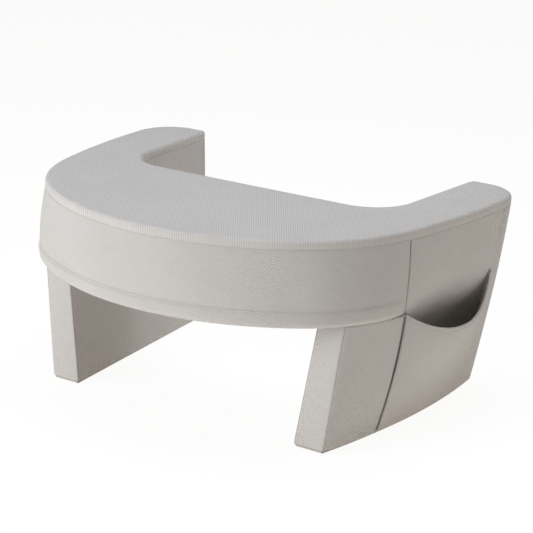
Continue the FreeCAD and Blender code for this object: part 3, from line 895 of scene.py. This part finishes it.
def roll_along(name, line, radius, sides=10):
    """A round binding of the twill along a line of points."""
    line = np.asarray(line, float)
    along = np.gradient(line, axis=0)
    along /= np.linalg.norm(along, axis=1)[:, None]
    first = np.cross(along, (1.0, 0.0, 0.0))
    first /= np.linalg.norm(first, axis=1)[:, None]
    second = np.cross(along, first)
    places = []
    for place, one, other in zip(line, first, second):
        for step in range(sides):
            angle = 2 * math.pi * step / sides
            places.append(place + (one * math.cos(angle) + other * math.sin(angle)) * radius)
    count = len(line)
    maps = np.array([(k * 0.004, s * 0.001, 0.0) for k in range(count) for s in range(sides)])
    piece = new_piece(name, places, tube_faces(count, sides), twill, maps)
    turn_faces_out(piece)
    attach(piece, "desk")


binding_radius = 0.0014
binding_sunk = 0.001
mouth_stitch_drop = 0.006
mouth_stitch_proud = 0.0004
mouth_line = []
mouth_stitch_line = []
for share in np.linspace(0.0, 1.0, 80):
    y = mix(side_seam_y, pocket_seam_y, share)
    place = np.array(pocket_place(share, mouth_height(y)))
    mouth_line.append(place - (binding_sunk, 0, 0))
    lower = np.array(pocket_place(share, mouth_height(y) - mouth_stitch_drop))
    mouth_stitch_line.append(lower + (mouth_stitch_proud, 0, 0))
roll_along("mouth_binding", mouth_line, binding_radius)
stitches("mouth_stitches", mouth_stitch_line[2:-2])

# Lining: a plain woven sheet that closes the cover under the top, from the apron's border back to the
# waist and between the legs. It is slit along the middle for the zip.
lining_pitch = 0.0018
plain, shade = new_material("plain_lining_cloth")
place = object_place(shade)
x_axis, y_axis = first_two(shade, place)
weave = x_axis.wave(lining_pitch) * 0.5 + y_axis.wave(lining_pitch) * 0.5
fuzz = shade.clouds(place, 600.0)
mottle = shade.clouds(place, 10.0)
shade.finish(shade.between(weave * 0.4 + fuzz * 0.3 + mottle * 0.3, (0.24, 0.22, 0.20), (0.40, 0.375, 0.34)),
             fuzz * 0.1 + 0.86, weave + fuzz * 0.4, 0.0004)
zip_y = -0.080
slot_half = 0.0055
zip_half = 0.200
lining_thickness = 0.0024
lining_z = underside_height + 0.0002
lining_under_border = 0.0021
lining_under_leg = 0.0028
leg_meets_y = -0.1255
lining_front_gap = 0.0005
lining_back_y = 0.0217
slit_share = 0.87
lining_edge = trace(apron_path(underside_height, -border_tuck - lining_under_border)[1:], (200, 80))


def lining_reach(y):
    """Half width of the lining at y: up to the apron in front, up to the legs' inner panels behind."""
    if y > leg_meets_y:
        return arm_inner_x - (half_depth - y) * toe_out + lining_under_leg
    right = lining_edge[lining_edge[:, 0] >= 0]
    return float(np.interp(y, right[:, 1], right[:, 0]))


lining_front_y = float(lining_edge[:, 1].min()) + lining_front_gap
front_rows, back_rows = 26, 17
side_columns, slit_columns = 7, 41
lining_lines = np.concatenate((np.linspace(lining_front_y, zip_y - slot_half, front_rows),
                               np.linspace(zip_y + slot_half, lining_back_y, back_rows)))
places = []
for y in lining_lines:
    reach = lining_reach(y)
    inner_reach = min(zip_half, reach * slit_share)
    xs = np.concatenate((np.linspace(-reach, -inner_reach, side_columns),
                         np.linspace(-inner_reach, inner_reach, slit_columns)[1:-1],
                         np.linspace(inner_reach, reach, side_columns)))
    places += [(x, y, lining_z) for x in xs]
wide = 2 * side_columns + slit_columns - 2
slit_start = side_columns - 1
polygons = []
for row in range(len(lining_lines) - 1):
    for column in range(wide - 1):
        if row == front_rows - 1 and slit_start <= column < slit_start + slit_columns - 1:
            continue
        polygons.append((row * wide + column, (row + 1) * wide + column, (row + 1) * wide + column + 1,
                         row * wide + column + 1))

# Two corner patches carry the lining round the waist's corners to the legs' inner panels.
corner_columns = 5
corner_clearance = 0.0015
corner_overlap = 0.0004
corner_line = trace([waist_arc], (12,))[::-1]
corner_line[0, 1] = lining_back_y - corner_overlap
for side in (1, -1):
    start = len(places)
    for waist_x, y in corner_line:
        xs = np.linspace(waist_x + corner_clearance, lining_reach(y), corner_columns)
        places += [(side * x, y, lining_z) for x in xs[::side]]
    for polygon in grid_faces(len(corner_line), corner_columns):
        polygons.append(tuple(start + corner for corner in reversed(polygon)))
lining = new_piece("lining_cloth", places, polygons, plain)
cover(lining, "underside_lining", lining_thickness)

# Zip: two woven tapes behind the slit, a moulded chain, metal stops, and a slider with a hanging pull.
# Chain, stops, slider and pull are the source's own solids.
herringbone_pitch = 0.0014
tape_cloth, shade = new_material("woven_zip_tape")
place = object_place(shade)
x_axis, y_axis = first_two(shade, place)
herringbone = (x_axis + shade.sum("ABSOLUTE", y_axis - zip_y)).wave(herringbone_pitch)
fuzz = shade.clouds(place, 900.0)
shade.finish(shade.between(herringbone * 0.6 + fuzz * 0.4, (0.28, 0.255, 0.225), (0.44, 0.41, 0.37)),
             fuzz * 0.1 + 0.8, herringbone, 0.0003)
tape_half_length = 0.212
tape_stations = 107
tape_low, tape_high = 0.1971, 0.1977
tape_bevel = 0.0004
tape_near, tape_far = 0.0034, 0.0154
for side, near, far in (("front", -tape_far, -tape_near), ("back", tape_near, tape_far)):
    profile = [(near, tape_low), (near + tape_bevel, tape_high),
               (far - tape_bevel, tape_high), (far, tape_low)]
    places = []
    for x in np.linspace(-tape_half_length, tape_half_length, tape_stations):
        places += [(x, zip_y + across, z) for across, z in profile]
    tape = new_piece(side + "_zip_tape", places, tube_faces(tape_stations, len(profile)), tape_cloth)
    turn_faces_out(tape)
    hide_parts("zip_tapes")
    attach(tape, "desk")

moulded, shade = new_material("moulded_chain")
place = object_place(shade)
grit = shade.clouds(place, 1400.0)
shade.finish(shade.between(grit, (0.30, 0.275, 0.245), (0.42, 0.39, 0.355)), grit * 0.2 + 0.38, grit, 0.00008)
plated, shade = new_material("plated_zip_metal")
place = object_place(shade)
stretched = shade.add("ShaderNodeMapping", {"Vector": place, "Scale": (1.0, 1.0, 12.0)})
brushed = shade.clouds(stretched, 500.0, 4.0)
shade.finish(shade.between(brushed, (0.42, 0.42, 0.43), (0.66, 0.66, 0.67)), brushed * 0.25 + 0.22,
             brushed, 0.00006, Metallic=1.0)
dress("zip_teeth", moulded)
for node in ("zip_stops", "zip_slider", "zip_pull"):
    dress(node, plated)

# Stage: a white paper floor that glows a little and is clear from below, and studio light from a broad
# cool lamp to the left of the camera, one overhead and a weak warm one on the right.
glow_share = 0.9
paper, shade = new_material("white_paper")
place = object_place(shade)
fibre = shade.clouds(place, 120.0)
shade.finish(shade.between(fibre, (0.93, 0.93, 0.93), (0.96, 0.96, 0.96)), fibre * 0.1 + 0.85, fibre, 0.0002,
             Emission_Color=(1.0, 0.91, 0.81, 1.0), Emission_Strength=0.37)
rays = shade.add("ShaderNodeLightPath", {}).socket.node.outputs
direct, mirrored, through = (Shade(shade.tree, rays[index]) for index in (0, 3, 6))
seen = direct + mirrored + through
glow = shade.add("ShaderNodeEmission", {"Color": (1.0, 1.0, 1.0, 1.0), "Strength": 1.0})
lit = Shade(shade.tree, paper.node_tree.nodes["Principled BSDF"].outputs[0])
shown = shade.add("ShaderNodeMixShader", {0: seen * glow_share, 1: lit, 2: glow})
from_below = shade.add("ShaderNodeNewGeometry", {}, out=6) * direct
clear = shade.add("ShaderNodeBsdfTransparent", {})
shown = shade.add("ShaderNodeMixShader", {0: from_below, 1: shown, 2: clear})
paper.node_tree.links.new(shown.socket, paper.node_tree.nodes["Material Output"].inputs[0])
floor_z = -0.0004
floor_half = 30.0
floor_corners = [(x * floor_half, y * floor_half, floor_z) for x, y in ((-1, -1), (1, -1), (1, 1), (-1, 1))]
floor = new_piece("floor", floor_corners, [(0, 1, 2, 3)], paper)

world = bpy.data.worlds.new("studio")
scene.world = world
world.use_nodes = True
world.node_tree.nodes["Background"].inputs[0].default_value = (1.0, 0.935, 0.855, 1.0)
world.node_tree.nodes["Background"].inputs[1].default_value = 0.17


def soft_lamp(name, place, aim, size, power, colour):
    data = bpy.data.lights.new(name, "AREA")
    data.size = size
    data.energy = power
    data.color = colour
    lamp = bpy.data.objects.new(name, data)
    scene.collection.objects.link(lamp)
    lamp.location = place
    lamp.rotation_euler = (Vector(aim) - Vector(place)).to_track_quat("-Z", "Y").to_euler()


soft_lamp("key", (-1.9, -3.2, 1.3), (0, 0, 0.2), 2.2, 108.0, (0.90, 0.95, 1.0))
soft_lamp("over", (0.1, 0.1, 1.9), (0, 0, 0.3), 1.2, 20.0, (0.85, 0.91, 1.0))
soft_lamp("fill", (2.9, 0.8, 0.7), (0, 0, 0.2), 1.6, 6.0, (1.0, 0.955, 0.90))
